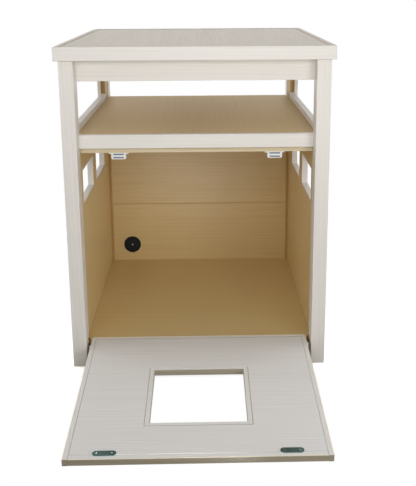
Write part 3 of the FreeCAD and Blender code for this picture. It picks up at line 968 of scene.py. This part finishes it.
# ---- the door ----
@dataclass
class Door:
    """The drop-front door, let down about its pivots.

    Attributes:
        ease: The width of the eased edges.
        band: How much of the inner face the painted highlight takes at the sides and the tip.
        hinge_highlight_band: How much of it the painted highlight takes at the hinge.
        strike_screw: The head of a screw in a strike plate.
        strike_screw_reach: From a strike plate's middle to the middle of a screw.
    """

    paints: Paints
    ease: float = 0.9 * MM
    band: float = 2.2 * MM
    hinge_highlight_band: float = 5.0 * MM
    strike_screw: ScrewHead = ScrewHead(1.5 * MM, 1.3 * MM, 2.75 * MM, 2.7 * MM, 0.7 * MM, 0.9 * MM)
    strike_screw_reach: float = 15.0 * MM

    def turn(self) -> float:
        """Give the angle the door has turned from closed, in radians."""
        return math.radians(frame["joints"][0]["range_deg"][1])

    def face_normal(self) -> Vector:
        """Give the way the door's inner face looks."""
        return Vector((0, math.cos(self.turn()), math.sin(self.turn())))

    def boards(self) -> None:
        """Dress the two boards, and ease and dress the window's frame."""
        inner = self.face_normal()
        for node in ("door_board_lower", "door_board_upper"):
            piece = copied(node, "_faced")
            white = self.paints.board(WHITEWASH, Grain.WIDTH)
            cool = self.paints.board(COOL_WHITEWASH, Grain.WIDTH)
            dress(piece, white, cool)
            paint_faces(piece, cool, lambda middle, normal: normal.dot(inner) > LEANS)
        self.edged("door_window_frame", Grain.WIDTH, None, 0.0)

    def edged(self, node: str, grain: Grain, out: Vector | None, band: float) -> None:
        """Ease a strip and dress its faces, its edges and the painted highlight along the outer
        one.

        Args:
            node: The strip's node.
            grain: The axis its grain runs along.
            out: The way from the door's middle to the outer edge, or None with no such edge.
            band: How much of the inner face the painted highlight along the outer edge takes.
        """
        inner = self.face_normal()
        piece = eased(node, self.ease)
        white, raw, cool, edge_highlight = (self.paints.board(finish, grain) for finish in (
            WHITEWASH, RAW_EDGE, COOL_WHITEWASH, EDGE_HIGHLIGHT))
        dress(piece, white, raw, cool, edge_highlight)
        paint_faces(piece, raw, lambda middle, normal: -LEANS < normal.dot(inner) < SQUARE)
        paint_faces(piece, cool, lambda middle, normal: normal.dot(inner) > SQUARE)
        if out is not None:
            rim = max(v.co.dot(out) for v in piece.data.vertices) - band
            parted(piece, rim, out)
            # Painted highlight: a warm pale band along the outer edge of the inner face.
            paint_faces(piece, edge_highlight, lambda middle, normal: (
                normal.dot(inner) > LEANS and middle.dot(out) > rim))

    def strips(self) -> None:
        """Ease and dress the strips round the door's edge."""
        right = Vector((1, 0, 0))
        hinge = self.face_normal().cross(right)
        for node, grain, out, band in (
                ("door_strip_right", Grain.DEPTH, right, self.band),
                ("door_strip_left", Grain.DEPTH, -right, self.band),
                ("door_strip_tip", Grain.WIDTH, -hinge, self.band),
                ("door_strip_hinge", Grain.WIDTH, hinge, self.hinge_highlight_band)):
            self.edged(node, grain, out, band)

    def strikes(self) -> None:
        """Dress the strike plates and make their cross-recessed screws."""
        steel = self.paints.plain(BLUED_STEEL)
        normal = self.face_normal()
        points = []
        for side in SIDES:
            plate = frame["nodes"][f"strike_plate_{side}"]
            dress(plate, steel)
            low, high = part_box(f"strike_plate_{side}")
            corners = [v.co for v in plate.data.vertices]
            top = max(c.dot(normal) for c in corners)
            middle = (low + high) / 2
            seat = middle + normal * (top - middle.dot(normal) - self.strike_screw.height)
            for way in (-1, 1):
                points.append(seat + Vector((way * self.strike_screw_reach, 0, 0)))
        turn = Euler((self.turn() - math.pi / 2, 0, 0))
        piece = screws("strike_screws_crossed", self.strike_screw, points, turn,
                       screw_tree(self.paints.plain(BRIGHT_STEEL)))
        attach(piece, "door")
        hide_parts("strike_screws")

    def pins(self) -> None:
        """Dress the pivot pins."""
        for side in SIDES:
            dress(frame["nodes"][f"pivot_pin_{side}"], self.paints.plain(ZINC_STEEL))

    def build(self) -> None:
        """Dress the whole door."""
        for step in (self.boards, self.strips, self.strikes, self.pins):
            step()
            LOG.info("door: %s", step.__name__)


# ---- the studio ----
@dataclass(frozen=True)
class Softbox:
    """A soft lamp, which may show in glossy finishes alone, as a reflector card does.

    Attributes:
        place: Where its middle hangs.
        aim: The point that it looks at.
        watts: Its power.
        spread: The angle that its light keeps to, in degrees.
        tilt: Its turn about the way it looks, in degrees.
        card: Whether it shows in gloss alone.
    """

    name: str
    place: tuple[float, float, float]
    aim: tuple[float, float, float]
    wide: float
    high: float
    watts: float
    spread: float = 180.0
    tilt: float = 0.0
    card: bool = False


@dataclass
class Studio:
    """The floor, the light and the camera.

    The camera's place, turn and lens are those that fit the photograph's own edges.

    Attributes:
        floor_half: Half the length of the floor.
        ambient: The strength of the even light. The camera sees white in its place.
        floor_colour: The colour that the floor throws back at the cabinet, warm and dim.
        floor_gain: How bright the floor looks under the cabinet, where its shadow stays.
        stand_middle: The depth of the middle of the place that keeps its shadow.
        stand_half: Half the width and depth of that place.
        fade: The width over which its shadow fades into white.
        camera_yaw: The camera's turn to the right, in radians.
        camera_pitch: Its turn down.
        focal_px: Its focal length, in pixels of the picture.
        middle_px: Where its axis meets the picture.
        lamps: The lamps. The card gives the floor and the back of the chamber their pale sheen.
    """

    floor_half: float = 30.0
    ambient: float = 0.42
    floor_colour: str = "#91866F"
    floor_gain: float = 1.9
    stand_middle: float = 0.2
    stand_half: tuple[float, float] = (0.29, 0.355)
    fade: float = 0.06
    camera_place: tuple[float, float, float] = (0.01752, -1.96368, 0.87488)
    camera_yaw: float = 0.0243
    camera_pitch: float = 0.2543
    camera_roll: float = -0.0047
    focal_px: float = 835.75
    middle_px: tuple[float, float] = (224.68, 200.07)
    picture_px: tuple[int, int] = (416, 486)
    sensor_mm: float = 36.0
    lamps: tuple[Softbox, ...] = (
        Softbox("key", (0.03, -1.2, 0.85), (0.03, -0.1, 0.8), 1.4, 0.4, 3.8, spread=120.0),
        Softbox("low fill", (0.8, -1.4, 0.36), (0.05, 0.0, 0.2), 0.4, 0.4, 3.2),
        Softbox("right side", (2.2, 0.3, 1.0), (0.0, 0.2, 0.5), 1.6, 1.6, 20.0),
        Softbox("left side", (-2.2, 0.3, 1.0), (0.0, 0.2, 0.5), 1.6, 1.6, 20.0),
        Softbox("back", (0.0, 2.8, 1.0), (0.0, 0.2, 0.5), 1.6, 1.6, 8.0),
        Softbox("card", (-0.055, -0.62, 0.07), (-0.055, 0.51, 0.3), 0.34, 0.05, 2.4, tilt=-15.0,
                card=True),
    )

    def _shown(self, tree: bpy.types.NodeTree) -> bpy.types.NodeSocket:
        """Tell the rays that show a thing, to the camera, in gloss or through glass, from the rest.

        Args:
            tree: The node tree it goes into.

        Returns:
            The socket that is 1 for such a ray.
        """
        ray = add_node(tree, "ShaderNodeLightPath").outputs
        opaque = add_node(tree, "ShaderNodeMath", {"operation": "MAXIMUM"}, {
            0: ray["Is Camera Ray"], 1: ray["Is Glossy Ray"],
        })
        return add_node(tree, "ShaderNodeMath", {"operation": "MAXIMUM"}, {
            0: opaque.outputs["Value"], 1: ray["Is Transmission Ray"],
        }).outputs["Value"]

    def floor(self) -> None:
        """Lay the floor, which looks white and keeps the shadow close round the feet."""
        half = self.floor_half
        mesh = bpy.data.meshes.new("floor")
        mesh.from_pydata([(-half, -half, 0), (half, -half, 0), (half, half, 0), (-half, half, 0)],
                         [], [(0, 1, 2, 3)])
        piece = new_piece("floor", mesh)
        made, tree = new_material("Matt paper sweep")
        paper = add_node(tree, "ShaderNodeBsdfDiffuse", sockets={
            "Color": linear(self.floor_colour),
        })
        bright = (self.floor_gain, self.floor_gain, self.floor_gain, 1.0)
        shaded = add_node(tree, "ShaderNodeBsdfDiffuse", sockets={"Color": bright})
        glow = add_node(tree, "ShaderNodeEmission")
        # How far a point lies outside the rectangle round the feet decides how much it glows.
        place = add_node(tree, "ShaderNodeMapping", {"vector_type": "TEXTURE"}, {
            "Vector": add_node(tree, "ShaderNodeTexCoord").outputs["Object"],
            "Location": (0, self.stand_middle, 0),
        }).outputs["Vector"]
        folded = add_node(tree, "ShaderNodeVectorMath", {"operation": "ABSOLUTE"}, {0: place})
        beyond = add_node(tree, "ShaderNodeVectorMath", {"operation": "SUBTRACT"}, {
            0: folded.outputs["Vector"], 1: (*self.stand_half, 0),
        })
        outside = add_node(tree, "ShaderNodeVectorMath", {"operation": "MAXIMUM"}, {
            0: beyond.outputs["Vector"], 1: (0, 0, 0),
        })
        away = add_node(tree, "ShaderNodeVectorMath", {"operation": "LENGTH"}, {
            0: outside.outputs["Vector"],
        })
        open_floor = add_node(tree, "ShaderNodeMapRange", {"interpolation_type": "SMOOTHSTEP"}, {
            "Value": away.outputs["Value"], "From Max": self.fade,
        })
        lit = add_node(tree, "ShaderNodeMixShader", sockets={
            0: open_floor.outputs["Result"], 1: shaded.outputs["BSDF"], 2: glow.outputs["Emission"],
        })
        mixed = add_node(tree, "ShaderNodeMixShader", sockets={
            0: self._shown(tree), 1: paper.outputs["BSDF"], 2: lit.outputs["Shader"],
        })
        close_material(tree, mixed.outputs["Shader"])
        dress(piece, made)
        piece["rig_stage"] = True

    def sky(self) -> None:
        """Light the scene evenly, and show white to the camera and in gloss."""
        world = bpy.data.worlds.new("studio")
        bpy.context.scene.world = world
        world.use_nodes = True
        tree = world.node_tree
        tree.nodes.clear()
        strength = add_node(tree, "ShaderNodeMapRange", sockets={
            "Value": self._shown(tree), "To Min": self.ambient, "To Max": 1.0,
        })
        back = add_node(tree, "ShaderNodeBackground", sockets={
            "Color": (1.0, 1.0, 1.0, 1.0), "Strength": strength.outputs["Result"],
        })
        add_node(tree, "ShaderNodeOutputWorld", sockets={"Surface": back.outputs["Background"]})

    def lights(self) -> None:
        """Hang the soft lamps."""
        for lamp in self.lamps:
            light = bpy.data.lights.new(lamp.name, "AREA")
            light.shape = "RECTANGLE"
            light.size = lamp.wide
            light.size_y = lamp.high
            light.energy = lamp.watts
            light.spread = math.radians(lamp.spread)
            held = bpy.data.objects.new(lamp.name, light)
            way = Vector(lamp.aim) - Vector(lamp.place)
            leant = Matrix.Rotation(math.radians(lamp.tilt), 4, "Z")
            held.matrix_world = (Matrix.Translation(lamp.place)
                                 @ way.to_track_quat("-Z", "Y").to_matrix().to_4x4() @ leant)
            held.visible_camera = False
            held.visible_diffuse = not lamp.card
            bpy.context.scene.collection.objects.link(held)

    def camera(self) -> None:
        """Set up the camera that matches the photograph."""
        yaw, pitch, roll = self.camera_yaw, self.camera_pitch, self.camera_roll
        forward = Vector((math.sin(yaw) * math.cos(pitch), math.cos(yaw) * math.cos(pitch),
                          -math.sin(pitch)))
        right = Vector((math.cos(yaw), -math.sin(yaw), 0))
        up = right.cross(forward)
        tilted_right = right * math.cos(roll) + up * math.sin(roll)
        tilted_up = up * math.cos(roll) - right * math.sin(roll)
        turn = Matrix((tilted_right, tilted_up, -forward)).transposed()
        wide, high = self.picture_px
        data = bpy.data.cameras.new("camera")
        data.sensor_width = self.sensor_mm
        data.lens = self.focal_px * self.sensor_mm / max(wide, high)
        data.shift_x = (wide / 2 - self.middle_px[0]) / max(wide, high)
        data.shift_y = (self.middle_px[1] - high / 2) / max(wide, high)
        data.dof.use_dof = False
        held = bpy.data.objects.new("camera", data)
        held.matrix_world = Matrix.Translation(self.camera_place) @ turn.to_4x4()
        bpy.context.scene.collection.objects.link(held)
        bpy.context.scene.camera = held

    def build(self) -> None:
        """Set up the whole studio."""
        self.camera()
        self.floor()
        self.sky()
        self.lights()
        bpy.context.scene.view_settings.view_transform = "Standard"
        LOG.info("studio: set up")


def main() -> None:
    """Build the dressed cabinet in order."""
    logging.basicConfig(level=logging.INFO, format="%(name)s %(message)s")
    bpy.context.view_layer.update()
    Studio().build()
    paints = Paints()
    Carcass(paints).build()
    Fittings(paints).build()
    Door(paints).build()
    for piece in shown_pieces():
        LOG.info("piece %s: %d faces", piece.name, len(piece.data.polygons))


if __name__ == "__main__":
    main()
